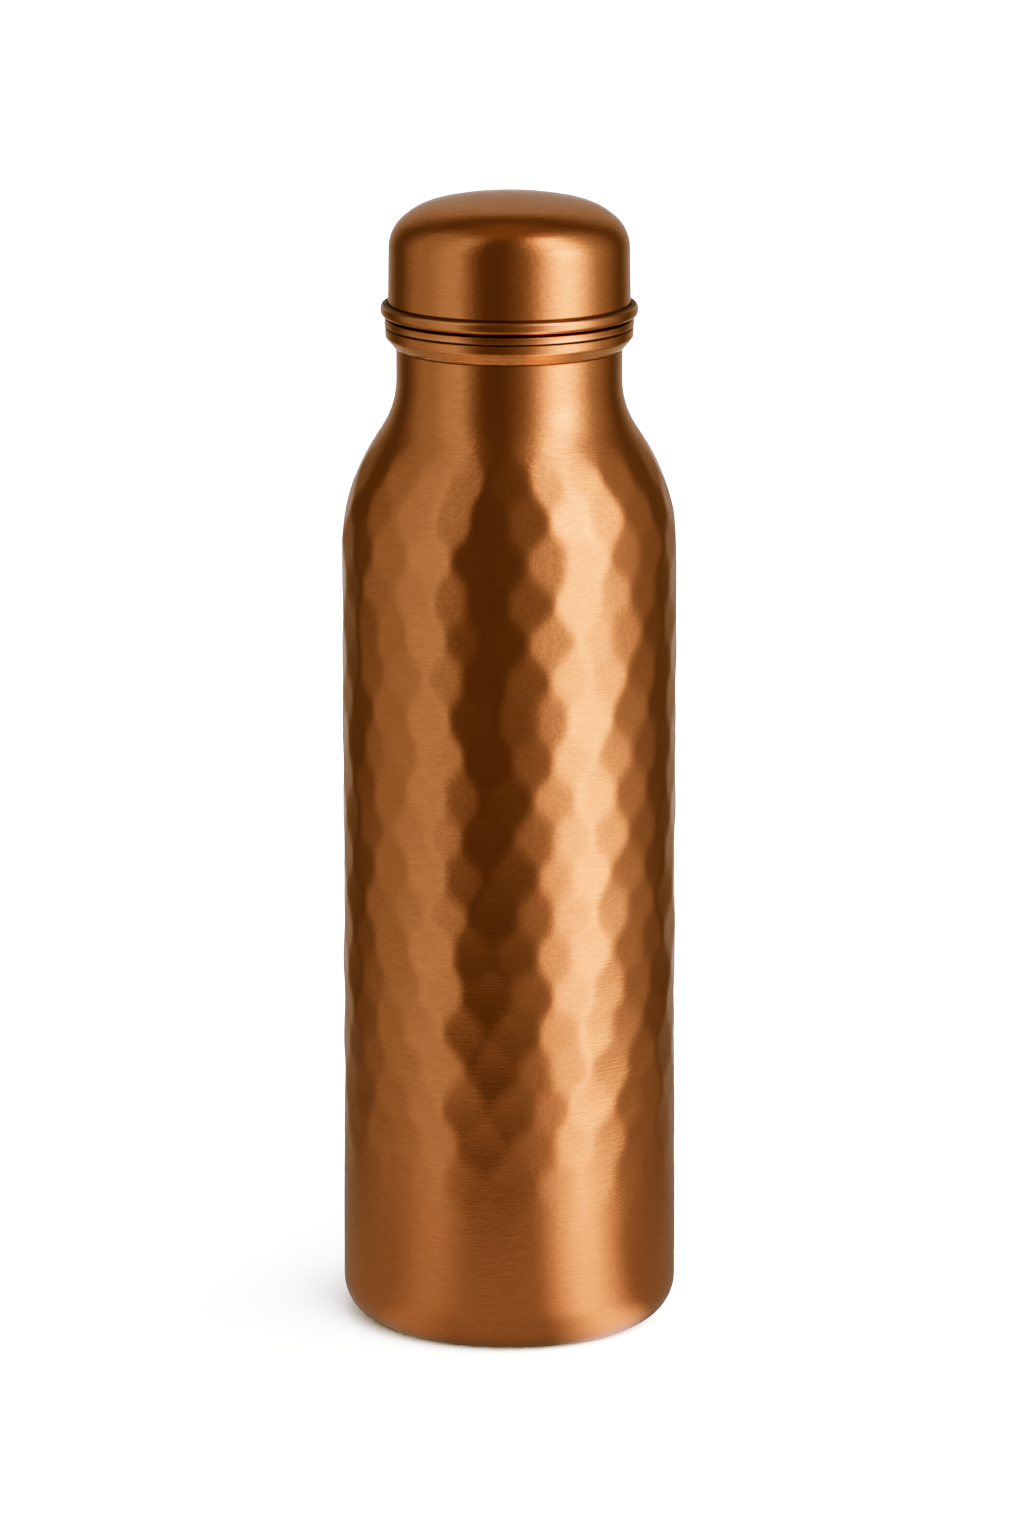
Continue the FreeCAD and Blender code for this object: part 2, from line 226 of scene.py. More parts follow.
# ---------------------------------------------------------------- hammer marks and threads
def smooth_step(low, high, value):
    """From 0 at low to 1 at high, without a corner at either end."""
    share = np.clip((value - low) / (high - low), 0, 1)
    return share * share * (3 - 2 * share)


def hammer_depth(angles, heights):
    """How far the hammered wall lies inside its high points, over a grid of places."""
    draw = random.Random(MARK_SEED)
    total = np.zeros((len(heights), len(angles)))
    for ring in range(MARK_RINGS):
        for mark in range(MARKS_ROUND):
            middle = FIRST_MARK_RING - ring * MARK_RING_STEP + draw.uniform(-1, 1) * MARK_SHIFT
            turn = (mark + 0.5 * ((ring + 1) % 2)) / MARKS_ROUND * 2 * math.pi
            turn += draw.uniform(-1, 1) * MARK_SHIFT / BODY_RADIUS
            dent = draw.uniform(-1, 1) * MARK_DENT
            lean = draw.uniform(-1, 1) * MARK_TILT
            up = heights - middle
            across = (angles - turn + math.pi) % (2 * math.pi) - math.pi
            across = across * BODY_RADIUS
            rows = np.nonzero(np.abs(up) < MARK_REACH)[0]
            columns = np.nonzero(np.abs(across) < MARK_REACH)[0]
            if not len(rows):
                continue
            bowl = (MARK_WIDTH_BEND * across[None, columns] ** 2
                    + MARK_HEIGHT_BEND * up[rows, None] ** 2
                    + lean * across[None, columns] + dent)
            total[np.ix_(rows, columns)] += np.exp(-MARK_SHARPNESS * bowl)
    height = -np.log(total + NEVER_ZERO) / MARK_SHARPNESS
    depth = np.clip(MARK_DEPTH - height, 0, None)
    fade = smooth_step(*MARKS_FADE_LOW, heights) * (1 - smooth_step(*MARKS_FADE_HIGH, heights))
    return depth * fade[:, None]


def ridge_share(angles, heights, first, turns):
    """How much of a thread's ridge stands at each place, from 0 to 1."""
    share = np.zeros((len(heights), len(angles)))
    for winding in range(math.ceil(turns) + 1):
        along = angles + 2 * math.pi * winding
        middle = first + THREAD_PITCH * along / (2 * math.pi)
        off = np.abs(heights[:, None] - middle[None, :])
        ridge = 1 - smooth_step(RIDGE_CREST / 2, RIDGE_ROOT / 2, off)
        end = 2 * math.pi * turns
        run = smooth_step(0, RIDGE_FADE, along) * (1 - smooth_step(end - RIDGE_FADE, end, along))
        share = np.maximum(share, ridge * run[None, :])
    return share


# ---------------------------------------------------------------- pieces
def shell_outlines():
    """Outer and inner outline of the vessel wall, from the lapped foot to the neck's top."""
    total = SHOULDER_ROUND + THROAT_ROUND
    reach = total - BODY_RADIUS + NECK_RADIUS
    turn = math.acos(reach / math.hypot(total, SHOULDER_SLANT)) - math.atan(SHOULDER_SLANT / total)
    foot_radius = BODY_RADIUS - SHOULDER_ROUND * (1 - math.cos(turn))
    foot_z = WALL_HEIGHT + SHOULDER_ROUND * math.sin(turn)
    top_radius = foot_radius - SHOULDER_SLANT * math.sin(turn)
    top_z = foot_z + SHOULDER_SLANT * math.cos(turn)
    throat_z = top_z + THROAT_ROUND * math.sin(turn)
    across = SHELL_WALL * math.cos(turn)
    down = SHELL_WALL * math.sin(turn)
    corner = BODY_RADIUS - BASE_ROUND
    fold = corner - FOOT_WIDTH
    foot = [
        (fold - FOOT_ROUND, LAP_HEIGHT),
        (fold - FOOT_ROUND, FOOT_ROUND, FOOT_ROUND, "left"),
        (fold, 0),
        (corner, 0, BASE_ROUND, "left"),
        (BODY_RADIUS, BASE_ROUND),
    ]
    side = [
        (BODY_RADIUS, BASE_ROUND),
        (BODY_RADIUS, WALL_HEIGHT, SHOULDER_ROUND, "left"),
        (foot_radius, foot_z),
        (top_radius, top_z, THROAT_ROUND, "right"),
        (NECK_RADIUS, throat_z),
    ]
    inside = [
        (NECK_RADIUS, throat_z),
        (NECK_RADIUS, NECK_TOP),
        (NECK_RADIUS - SHELL_WALL, NECK_TOP),
        (NECK_RADIUS - SHELL_WALL, throat_z, THROAT_ROUND + SHELL_WALL, "left"),
        (top_radius - across, top_z - down),
        (foot_radius - across, foot_z - down, SHOULDER_ROUND - SHELL_WALL, "right"),
        (BODY_RADIUS - SHELL_WALL, WALL_HEIGHT),
        (BODY_RADIUS - SHELL_WALL, BASE_ROUND, BASE_ROUND - SHELL_WALL, "right"),
        (corner, SHELL_WALL),
        (fold, SHELL_WALL, FOOT_ROUND - SHELL_WALL, "right"),
        (fold - FOOT_ROUND + SHELL_WALL, FOOT_ROUND),
        (fold - FOOT_ROUND + SHELL_WALL, LAP_HEIGHT),
        (fold - FOOT_ROUND, LAP_HEIGHT),
    ]
    return (sampled(foot, PLAIN_STEP, closed=False) + sampled(side, HAMMERED_STEP, closed=False)
            + sampled(inside, INSIDE_STEP, closed=False))


def hammered_shell():
    """The vessel's wall, one sheet from the foot to the top of the neck."""
    def hammered(angles, radii, heights):
        return radii[:, None] - hammer_depth(angles, heights)
    return lathe("hammered_shell", shell_outlines(), SHELL_SEGMENTS, hammered)


def bottom_plate():
    """The domed plate in the foot, with a skirt brazed to the wall's lap."""
    flat = PLATE_RADIUS - PLATE_ROUND
    inside = PLATE_RADIUS - PLATE_WALL
    edge_z = PLATE_TOP - PLATE_RISE
    skirt_z = edge_z - PLATE_ROUND
    crown = (flat ** 2 + PLATE_RISE ** 2) / (2 * PLATE_RISE)
    outline = [
        (inside, PLATE_FOOT),
        (PLATE_RADIUS, PLATE_FOOT),
        (PLATE_RADIUS, skirt_z, PLATE_ROUND, "left"),
        (flat, edge_z, crown, "left"),
        (0, PLATE_TOP),
        (0, PLATE_TOP - PLATE_WALL, crown, "right"),
        (flat, edge_z - PLATE_WALL, PLATE_ROUND - PLATE_WALL, "right"),
        (inside, skirt_z),
    ]
    return lathe("bottom_plate", sampled(outline, PLAIN_STEP))


def neck_bead():
    """The turned ring round the top of the neck, which tapers into it below."""
    bore = NECK_RADIUS + BRAZE_GAP
    face_z = RING_TOP - RING_FACE
    outline = [
        (bore, RING_FOOT),
        (bore + RING_EDGE, RING_FOOT),
        (RING_RADIUS - RING_TURN_ROUND * (1 - math.cos(RING_TURN)),
         face_z - RING_TURN_ROUND * math.sin(RING_TURN), RING_TURN_ROUND, "left"),
        (RING_RADIUS, face_z),
        (RING_RADIUS, RING_TOP - RING_TOP_ROUND, RING_TOP_ROUND, "left"),
        (RING_RADIUS - RING_TOP_ROUND, RING_TOP),
        (bore, RING_TOP),
    ]
    return lathe("neck_bead", sampled(outline, PLAIN_STEP))


def mouth_collar():
    """The mouth: a spigot in the neck, a flange, the outer thread and the pouring lip."""
    spigot = NECK_RADIUS - SHELL_WALL - BRAZE_GAP
    bore = spigot - SPIGOT_WALL
    root = bore + COLLAR_WALL
    lip_bore = root - LIP_WIDTH
    flange_top = NECK_TOP + FLANGE_THICKNESS
    first = flange_top + THREAD_START
    outline = [
        (bore, SPIGOT_FOOT),
        (spigot, SPIGOT_FOOT),
        (spigot, NECK_TOP),
        (FLANGE_RADIUS - FLANGE_ROUND, NECK_TOP, FLANGE_ROUND, "left"),
        (FLANGE_RADIUS, NECK_TOP + FLANGE_ROUND),
        (FLANGE_RADIUS, flange_top - FLANGE_ROUND, FLANGE_ROUND, "left"),
        (FLANGE_RADIUS - FLANGE_ROUND, flange_top),
        (root, flange_top),
        (root, LIP_TOP - LIP_ROUND, LIP_ROUND, "left"),
        (root - LIP_ROUND, LIP_TOP),
        (lip_bore + LIP_ROUND, LIP_TOP, LIP_ROUND, "left"),
        (lip_bore, LIP_TOP - LIP_ROUND),
        (lip_bore, LIP_TOP - LIP_HEIGHT),
        (bore, LIP_TOP - LIP_HEIGHT - (LIP_WIDTH - COLLAR_WALL)),
    ]

    def threaded(angles, radii, heights):
        outside = (np.abs(radii - root) < SAME_RADIUS) & (heights > flange_top)
        share = ridge_share(angles, heights, first, COLLAR_TURNS)
        return radii[:, None] + RIDGE_HEIGHT * share * outside[:, None]

    return lathe("mouth_collar", sampled(outline, COLLAR_STEP), SEGMENTS, threaded)


def washer():
    """The flat silicone ring that seals the cap on the lip."""
    bore = GASKET_RADIUS - GASKET_WIDTH
    low = GASKET_FOOT
    high = GASKET_TOP
    outline = [
        (bore + GASKET_ROUND, low),
        (GASKET_RADIUS - GASKET_ROUND, low, GASKET_ROUND, "left"),
        (GASKET_RADIUS, low + GASKET_ROUND),
        (GASKET_RADIUS, high - GASKET_ROUND, GASKET_ROUND, "left"),
        (GASKET_RADIUS - GASKET_ROUND, high),
        (bore + GASKET_ROUND, high, GASKET_ROUND, "left"),
        (bore, high - GASKET_ROUND),
        (bore, low + GASKET_ROUND, GASKET_ROUND, "left"),
    ]
    return lathe("washer", sampled(outline, PLAIN_STEP))


def cap_dome():
    """The cap's spun shell: a slightly tapered side, a round corner and a shallow dome."""
    cap_radius = CAP_FOOT_RADIUS - CAP_TAPER
    side_z = SLEEVE_TOP + SIDE_MARGIN
    corner_r = cap_radius - CORNER_ROUND * (1 - math.cos(CORNER_TURN))
    corner_z = side_z + CORNER_ROUND * math.sin(CORNER_TURN)
    crown_r = corner_r - CROWN_ROUND * (math.cos(CORNER_TURN) - math.cos(CROWN_TURN))
    crown_z = corner_z + CROWN_ROUND * (math.sin(CROWN_TURN) - math.sin(CORNER_TURN))
    dome = crown_r / math.cos(CROWN_TURN)
    outline = [
        (CAP_FOOT_RADIUS - CAP_WALL, SKIRT_FOOT),
        (CAP_FOOT_RADIUS, SKIRT_FOOT),
        (CAP_FOOT_RADIUS, RIM_TOP),
        (cap_radius, side_z, CORNER_ROUND, "left"),
        (corner_r, corner_z, CROWN_ROUND, "left"),
        (crown_r, crown_z, dome, "left"),
        (0, DOME_TOP),
        (0, DOME_TOP - CAP_WALL, dome - CAP_WALL, "right"),
        (crown_r - CAP_WALL * math.cos(CROWN_TURN), crown_z - CAP_WALL * math.sin(CROWN_TURN),
         CROWN_ROUND - CAP_WALL, "right"),
        (corner_r - CAP_WALL * math.cos(CORNER_TURN), corner_z - CAP_WALL * math.sin(CORNER_TURN),
         CORNER_ROUND - CAP_WALL, "right"),
        (cap_radius - CAP_WALL, side_z),
        (CAP_FOOT_RADIUS - CAP_WALL, RIM_TOP),
    ]
    return lathe("cap_dome", sampled(outline, PLAIN_STEP))


def cap_bead():
    """The rolled rim round the cap's foot."""
    bore = CAP_FOOT_RADIUS + BRAZE_GAP
    outline = [
        (bore, RIM_FOOT),
        (RIM_RADIUS - RIM_ROUND, RIM_FOOT, RIM_ROUND, "left"),
        (RIM_RADIUS, RIM_FOOT + RIM_ROUND),
        (RIM_RADIUS, RIM_TOP - RIM_ROUND, RIM_ROUND, "left"),
        (RIM_RADIUS - RIM_ROUND, RIM_TOP),
        (bore, RIM_TOP),
    ]
    return lathe("cap_bead", sampled(outline, PLAIN_STEP))


def cap_sleeve():
    """The sleeve inside the cap, with the inner thread."""
    bore = SLEEVE_RADIUS - SLEEVE_WALL
    first = RIM_FOOT + THREAD_START - RIM_GAP + THREAD_PITCH / 2
    outline = [
        (bore, SLEEVE_FOOT),
        (SLEEVE_RADIUS, SLEEVE_FOOT),
        (SLEEVE_RADIUS, SLEEVE_TOP),
        (bore, SLEEVE_TOP),
    ]

    def threaded(angles, radii, heights):
        inside = np.abs(radii - bore) < SAME_RADIUS
        share = ridge_share(angles, heights, first, SLEEVE_TURNS)
        return radii[:, None] - RIDGE_HEIGHT * share * inside[:, None]

    return lathe("cap_sleeve", sampled(outline, SLEEVE_STEP), SEGMENTS, threaded)


def cap_disc():
    """The disc that closes the sleeve and backs the washer."""
    seat = GASKET_RADIUS - GASKET_WIDTH - GASKET_ROUND
    raised = LINER_TOP - LINER_WALL
    outline = [
        (0, raised),
        (seat - LINER_STEP, raised),
        (seat, LINER_FOOT),
        (LINER_RADIUS, LINER_FOOT),
        (LINER_RADIUS, LINER_FOOT + LINER_WALL),
        (seat, LINER_FOOT + LINER_WALL),
        (seat - LINER_STEP, LINER_TOP),
        (0, LINER_TOP),
    ]
    return lathe("cap_disc", sampled(outline, PLAIN_STEP))


# ---------------------------------------------------------------- materials
# Colours of the metal: clean, in the brushed scores, on edges (wear and a painted highlight),
# where it is matt, painted shade on the slope under the neck ring, painted shade at the seams
COPPER_LIGHT = (0.91, 0.385, 0.212, 1)
COPPER_DARK = (0.84, 0.345, 0.182, 1)
SCORE = (0.70, 0.27, 0.13, 1)
# pale edges: partly wear, partly a painted highlight
PALE_WEAR_AND_HIGHLIGHT = (0.95, 0.54, 0.36, 1)
MATT = (0.60, 0.27, 0.16, 1)
# painted shade: a duller brown for the slope under the neck ring
SLOPE_SHADE = (0.46, 0.26, 0.16, 1)
# painted shade for the seams between parts
SEAM_SHADE = (0.20, 0.085, 0.035, 1)

# How far each of them covers the metal at most, and from which noise up it is scored
DARK_SHARE = 0.75
SCORE_SHARE = 0.4
SCORED_FROM = 0.35
PALE_WEAR_AND_HIGHLIGHT_SHARE = 0.5
SLOPE_SHADE_SHARE = 0.6
SEAM_SHADE_SHARE = 0.85

# How much the cloudy tone and the brushed grain change the roughness
CLOUD_ROUGHER = (-0.02, 0.02)
BRUSH_ROUGHER = (-0.03, 0.04)

# A matt skin, or the painted shade on the slope under the neck ring: how dull that slope is
# beside a matt wall, how much less metallic and how much rougher the skin is, and how much
# rougher the painted shade at the seams is.  A wall faces the axis where the outward part of
# its normal is under FACES_AXIS.
SLOPE_SHADE_SKIN = 0.36
SKIN_UNMETALLIC = 0.65
SKIN_ROUGHER = 0.35
SEAM_SHADE_ROUGHER = 0.25
FACES_AXIS = -0.3

# Bands round the bottle, each a middle height and a reach
# painted shade along the seams between parts
SHADED_SEAMS = ((RING_FOOT, 0.3 * MM), (RING_TOP, 0.45 * MM), (RIM_FOOT - RIM_GAP / 2, 0.4 * MM),
              (RIM_TOP, 0.45 * MM))
# pale bands on the ring and rim edges: wear and a painted highlight
WORN_AND_LIT_EDGES = ((RING_FOOT + 0.55 * MM, 0.35 * MM), (RING_TOP + 0.6 * MM, 0.4 * MM),
              (RIM_FOOT + 0.4 * MM, 0.35 * MM), (RIM_TOP - 0.6 * MM, 0.35 * MM))
# painted shade on the slope under the neck ring
SHADED_SLOPE = ((RING_FOOT + 1.2 * MM, 2.2 * MM),)
BAND_CORE = 0.2

# Noises: features per metre along each axis, then the detail and its roughness
CLOUD = ((22, 22, 14), 4.0, 0.5)
BRUSH = ((330, 330, 2400), 4.0, 0.6)
HAIR = ((60, 60, 5200), 2.0, 0.5)
RIPPLE = ((800, 800, 1300), 2.0, 0.5)
SILICONE_CLOUD = ((160, 160, 160), 3.0, 0.5)
SILICONE_GRAIN = ((2400, 2400, 2400), 2.0, 0.5)
RIPPLE_DEPTH = 0.05 * MM
BRUSH_DEPTH = 0.03 * MM

MILK = (0.80, 0.78, 0.73, 1)
MILK_SHADE = (0.68, 0.65, 0.59, 1)
SILICONE_ROUGH = (0.42, 0.58)
SILICONE_BUMP = 0.2
SILICONE_DEPTH = 0.02 * MM

# The usual range of a noise, and the colour sockets of a mix
NOISE_LOW = 0.3
NOISE_HIGH = 0.7
MIX_FIRST = 6
MIX_SECOND = 7
MIX_RESULT = 2


def node(tree, kind, values=None, **settings):
    """A new shader node with its properties, and its inputs given by number or name."""
    made = tree.nodes.new(kind)
    for name, value in settings.items():
        setattr(made, name, value)
    for name, value in (values or {}).items():
        if isinstance(value, bpy.types.NodeSocket):
            tree.links.new(value, made.inputs[name])
        else:
            made.inputs[name].default_value = value
    return made


def maths(tree, operation, first, second=None):
    """The result of one sum on one or two values."""
    values = {0: first} if second is None else {0: first, 1: second}
    return node(tree, "ShaderNodeMath", values, operation=operation).outputs[0]


def ramp(tree, value, low, high, start, end):
    """A value that runs smoothly from start at low to end at high."""
    values = {"Value": value, "From Min": low, "From Max": high, "To Min": start, "To Max": end}
    return node(tree, "ShaderNodeMapRange", values, interpolation_type="SMOOTHSTEP").outputs[0]


def new_material(name):
    """A material with its node tree and its shader."""
    material = bpy.data.materials.new(name)
    material.use_nodes = True
    tree = material.node_tree
    shader = tree.nodes["Principled BSDF"]
    return material, tree, shader


def noise(tree, place, scale, detail, rough):
    """Noise stretched by a scale along each axis, in features per metre."""
    mapping = node(tree, "ShaderNodeMapping", {"Vector": place, "Scale": scale})
    values = {"Vector": mapping.outputs[0], "Scale": 1.0, "Detail": detail, "Roughness": rough}
    return node(tree, "ShaderNodeTexNoise", values).outputs["Fac"]


def spread(tree, value, low, high, start=NOISE_LOW, end=NOISE_HIGH):
    """A noise's value, mapped to run evenly from low to high."""
    values = {"Value": value, "From Min": start, "From Max": end, "To Min": low, "To Max": high}
    return node(tree, "ShaderNodeMapRange", values).outputs[0]


def band_mask(tree, place, bands):
    """One at each band's height, and nothing beyond its reach."""
    height = node(tree, "ShaderNodeSeparateXYZ", {0: place}).outputs[2]
    mask = 0.0
    for middle, reach in bands:
        off = maths(tree, "ABSOLUTE", maths(tree, "SUBTRACT", height, middle))
        mask = maths(tree, "MAXIMUM", mask, ramp(tree, off, BAND_CORE * reach, reach, 1.0, 0.0))
    return mask


def inside_mask(tree, place):
    """One on walls that face the axis, which keep the matt skin they were made with."""
    flat = node(tree, "ShaderNodeVectorMath", {0: place, 1: (1, 1, 0)}, operation="MULTIPLY")
    outward = node(tree, "ShaderNodeVectorMath", {0: flat.outputs[0]}, operation="NORMALIZE")
    normal = node(tree, "ShaderNodeNewGeometry").outputs["True Normal"]
    facing = node(tree, "ShaderNodeVectorMath", {0: outward.outputs[0], 1: normal},
                  operation="DOT_PRODUCT").outputs["Value"]
    return maths(tree, "LESS_THAN", facing, FACES_AXIS)


def blend(tree, share, first, second):
    """A colour that runs from first at no share to second at a full one."""
    values = {0: share, MIX_FIRST: first, MIX_SECOND: second}
    return node(tree, "ShaderNodeMix", values, data_type="RGBA").outputs[MIX_RESULT]


def dusted(tree, mask, share, under, over):
    """A colour with another over it, by a share of the mask."""
    return blend(tree, maths(tree, "MULTIPLY", mask, share), under, over)


def bump(tree, height, strength, depth, under=None):
    """A normal that follows a height, on top of another normal."""
    values = {"Height": height, "Strength": strength, "Distance": depth}
    if under is not None:
        values["Normal"] = under
    return node(tree, "ShaderNodeBump", values).outputs[0]


def copper(name, rough, grain, ripple, seams=(), worn_and_lit=(), shaded=()):
    """Copper with brushed grain along its rings, uneven tone and a slightly rippled skin.
    It is darkened with painted shade at its seams, pale along its edges with wear and a painted
    highlight, and a duller brown with painted shade on the slope under the neck ring: each is a
    list of bands."""
    material, tree, shader = new_material(name)
    place = node(tree, "ShaderNodeTexCoord").outputs["Object"]
    cloud = noise(tree, place, *CLOUD)
    brush = noise(tree, place, *BRUSH)
    inside = inside_mask(tree, place)
    seam = band_mask(tree, place, seams)
    slope_shade = maths(tree, "MULTIPLY", band_mask(tree, place, shaded), SLOPE_SHADE_SHARE)
    dull_skin = maths(tree, "MAXIMUM", inside, maths(tree, "MULTIPLY", slope_shade, SLOPE_SHADE_SKIN))

    clean = blend(tree, spread(tree, cloud, 0.0, DARK_SHARE), COPPER_LIGHT, COPPER_DARK)
    scored = blend(tree, spread(tree, brush, 0.0, SCORE_SHARE, SCORED_FROM), clean, SCORE)
    walled = blend(tree, inside, scored, MATT)
    # painted shade: the slope under the neck ring turns a duller brown
    slope_shaded = blend(tree, slope_shade, walled, SLOPE_SHADE)
    # wear and a painted highlight: pale bands along the edges
    rubbed_and_lit = dusted(tree, band_mask(tree, place, worn_and_lit), PALE_WEAR_AND_HIGHLIGHT_SHARE, slope_shaded, PALE_WEAR_AND_HIGHLIGHT)
    # painted shade darkens the seams between parts
    seam_shaded = dusted(tree, seam, SEAM_SHADE_SHARE, rubbed_and_lit, SEAM_SHADE)
    tree.links.new(seam_shaded, shader.inputs["Base Color"])

    smoothest, roughest = BRUSH_ROUGHER
    uneven = maths(tree, "ADD", spread(tree, cloud, *CLOUD_ROUGHER),
                   spread(tree, brush, rough + smoothest, rough + roughest))
    dull = maths(tree, "ADD", maths(tree, "MULTIPLY", seam, SEAM_SHADE_ROUGHER),
                 maths(tree, "MULTIPLY", dull_skin, SKIN_ROUGHER))
    tree.links.new(maths(tree, "ADD", uneven, dull), shader.inputs["Roughness"])
    unmetallic = maths(tree, "MULTIPLY", dull_skin, SKIN_UNMETALLIC)
    tree.links.new(maths(tree, "SUBTRACT", 1.0, unmetallic), shader.inputs["Metallic"])

    rippled = bump(tree, noise(tree, place, *RIPPLE), ripple, RIPPLE_DEPTH)
    lines = maths(tree, "ADD", brush, noise(tree, place, *HAIR))
    tree.links.new(bump(tree, lines, grain, BRUSH_DEPTH, rippled), shader.inputs["Normal"])
    return material


def silicone():
    """Milky food-grade silicone, faintly mottled."""
    material, tree, shader = new_material("silicone")
    place = node(tree, "ShaderNodeTexCoord").outputs["Object"]
    cloud = noise(tree, place, *SILICONE_CLOUD)
    grain = noise(tree, place, *SILICONE_GRAIN)
    tone = blend(tree, spread(tree, cloud, 0.0, 1.0), MILK, MILK_SHADE)
    tree.links.new(tone, shader.inputs["Base Color"])
    tree.links.new(spread(tree, grain, *SILICONE_ROUGH), shader.inputs["Roughness"])
    rough_skin = bump(tree, grain, SILICONE_BUMP, SILICONE_DEPTH)
    tree.links.new(rough_skin, shader.inputs["Normal"])
    return material


def dress(piece, material, body, node_name):
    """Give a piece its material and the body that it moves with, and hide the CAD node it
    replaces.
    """
    piece.data.materials.append(material)
    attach(piece, body)
    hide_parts(node_name)


def build_pieces():
    """The nine pieces, each dressed."""
    hammered = copper("hammered_copper", rough=0.18, grain=0.8, ripple=0.55, seams=SHADED_SEAMS)
    spun = copper("spun_copper", rough=0.18, grain=0.8, ripple=0.55, seams=SHADED_SEAMS)
    turned = copper("turned_copper", rough=0.16, grain=0.8, ripple=0.3, seams=SHADED_SEAMS,
                    worn_and_lit=WORN_AND_LIT_EDGES, shaded=SHADED_SLOPE)
    inner = copper("inner_copper", rough=0.30, grain=0.3, ripple=0.08)
    soft = silicone()
    dress(hammered_shell(), hammered, "bottle", "body_shell")
    dress(bottom_plate(), inner, "bottle", "base_plate")
    dress(neck_bead(), turned, "bottle", "neck_ring")
    dress(mouth_collar(), turned, "bottle", "thread_collar")
    dress(washer(), soft, "seal", "cap_gasket")
    dress(cap_dome(), spun, "cap", "cap_shell")
    dress(cap_bead(), turned, "cap", "cap_rim_ring")
    dress(cap_sleeve(), inner, "cap", "cap_thread_insert")
    dress(cap_disc(), inner, "cap", "cap_liner_disc")


# ---------------------------------------------------------------- studio
WHITE = (1.0, 1.0, 1.0)
COOL = (1.0, 1.17, 1.26)
WARM = (1.0, 0.87, 0.62)
PAPER = (1, 1, 1, 1)

# The soft panels that the metal mirrors: the middle's azimuth from the camera's side towards
# +X, half the width and the softness of its edges; the middle's height, half the height and
# its softness, all in degrees; then the brightness and the tint
PANELS = {
    "key": (56, 19, 38, -20, 86, 26, 0.74, WHITE),
    "key heart": (55, 10, 30, 16, 8, 22, 0.34, WHITE),
    "key glow": (63, 44, 56, -20, 86, 26, 0.17, COOL),
    "fill": (-56.5, 17.5, 26, -20, 86, 26, 0.075, COOL),
    "fill glow": (-76, 36, 34, -20, 86, 26, 0.115, COOL),
    "fill strip": (-50, 4, 7, -20, 86, 26, 0.035, COOL),
    "back": (179, 33, 34, -20, 68, 24, 0.122, COOL),
    "rim": (180, 12, 12, -20, 23, 10, 0.14, WHITE),
}

# The room beyond the panels, and how much more the ceiling gives above a height in degrees
GLOOM = 0.066
CEILING = 0.055
CEILING_EDGE = (56, 84)

# The light that the floor scatters, which leans to one side and so casts the soft shadow
FLOOR_LIGHT = 0.95
FLOOR_LIGHT_LEAN = 0.97
FLOOR_LIGHT_FROM = math.radians(50)
FLOOR_LIGHT_FOCUS = 4.0
FLOOR_HALF = 6.0
FLOOR_COLOUR = (0.90, 0.95, 0.80, 1)

# The floor as the metal mirrors it, a painted reflection: a glow that only the metal sees.  Its
# brightness; the painted light that the panels add towards each side (the middle's azimuth, half
# the width and the softness in degrees, and the amount); the share left beside the foot, a
# painted shade; from which depth to which it dims, and how far; then distances from the axis:
# where the painted shade at the foot ends, where the mirroring starts and where it fades away
FLOOR_MIRROR = 0.165
FLOOR_MIRROR_SIDES = ((45.5, 16, 31, 0.53), (-46, 14, 24, 0.07))
FLOOR_MIRROR_FOOT = 0.5
FLOOR_MIRROR_LEAN = (-100 * MM, 60 * MM, 1.0, 0.8)
FLOOR_MIRROR_SHADE = (28.5 * MM, 39 * MM)
FLOOR_MIRROR_HOLE = (26.5 * MM, 28 * MM)
FLOOR_MIRROR_REACH = (60 * MM, 420 * MM)

SENSOR_WIDTH = 36.0
LENS = 193.0
EYE_PLACE = (0.0006, -1.828, 0.5337)
EYE_TILT = math.radians(90 - 12.506)
NEAREST = 0.05
FARTHEST = 50.0

# Film response of red, green and blue: the contrast and the level that prints as middle grey
FILM = ((1.64, 0.288), (1.55, 0.327), (1.99, 0.257))
FILM_POINTS = 24


def film_response():
    """Set the view's curve so that bright copper pales and dark copper deepens."""
    view = bpy.context.scene.view_settings
    view.view_transform = "Standard"
    view.use_curve_mapping = True
    for channel, (contrast, level) in enumerate(FILM):
        curve = view.curve_mapping.curves[channel]
        middle = level ** contrast
        for number in range(1, FILM_POINTS):
            value = (number / FILM_POINTS) ** 2
            bent = value ** contrast
            curve.points.new(value, (1 + middle) * bent / (bent + middle))
    view.curve_mapping.update()


def tinted(tree, tint, strength):
    """A colour of the given strength, as a vector."""
    return node(tree, "ShaderNodeVectorMath", {0: tint, "Scale": strength},
                operation="SCALE").outputs[0]


def within(tree, angle, half, soft):
    """One where an angle is under half, given in degrees, with a soft edge."""
    return ramp(tree, maths(tree, "ABSOLUTE", angle), math.radians(half - soft / 2),
                math.radians(half + soft / 2), 1.0, 0.0)


def background(tree, colour, strength):
    """Light of one colour and strength from all round."""
    return node(tree, "ShaderNodeBackground", {0: colour, 1: strength}).outputs[0]


def mixed(tree, share, first, second):
    """A shader that runs from first at no share to second at a full one."""
    return node(tree, "ShaderNodeMixShader", {0: share, 1: first, 2: second}).outputs[0]


def azimuth_of(tree, x, y):
    """The angle round the axis, from the camera's side towards +X."""
    return maths(tree, "ARCTAN2", x, maths(tree, "MULTIPLY", y, -1.0))


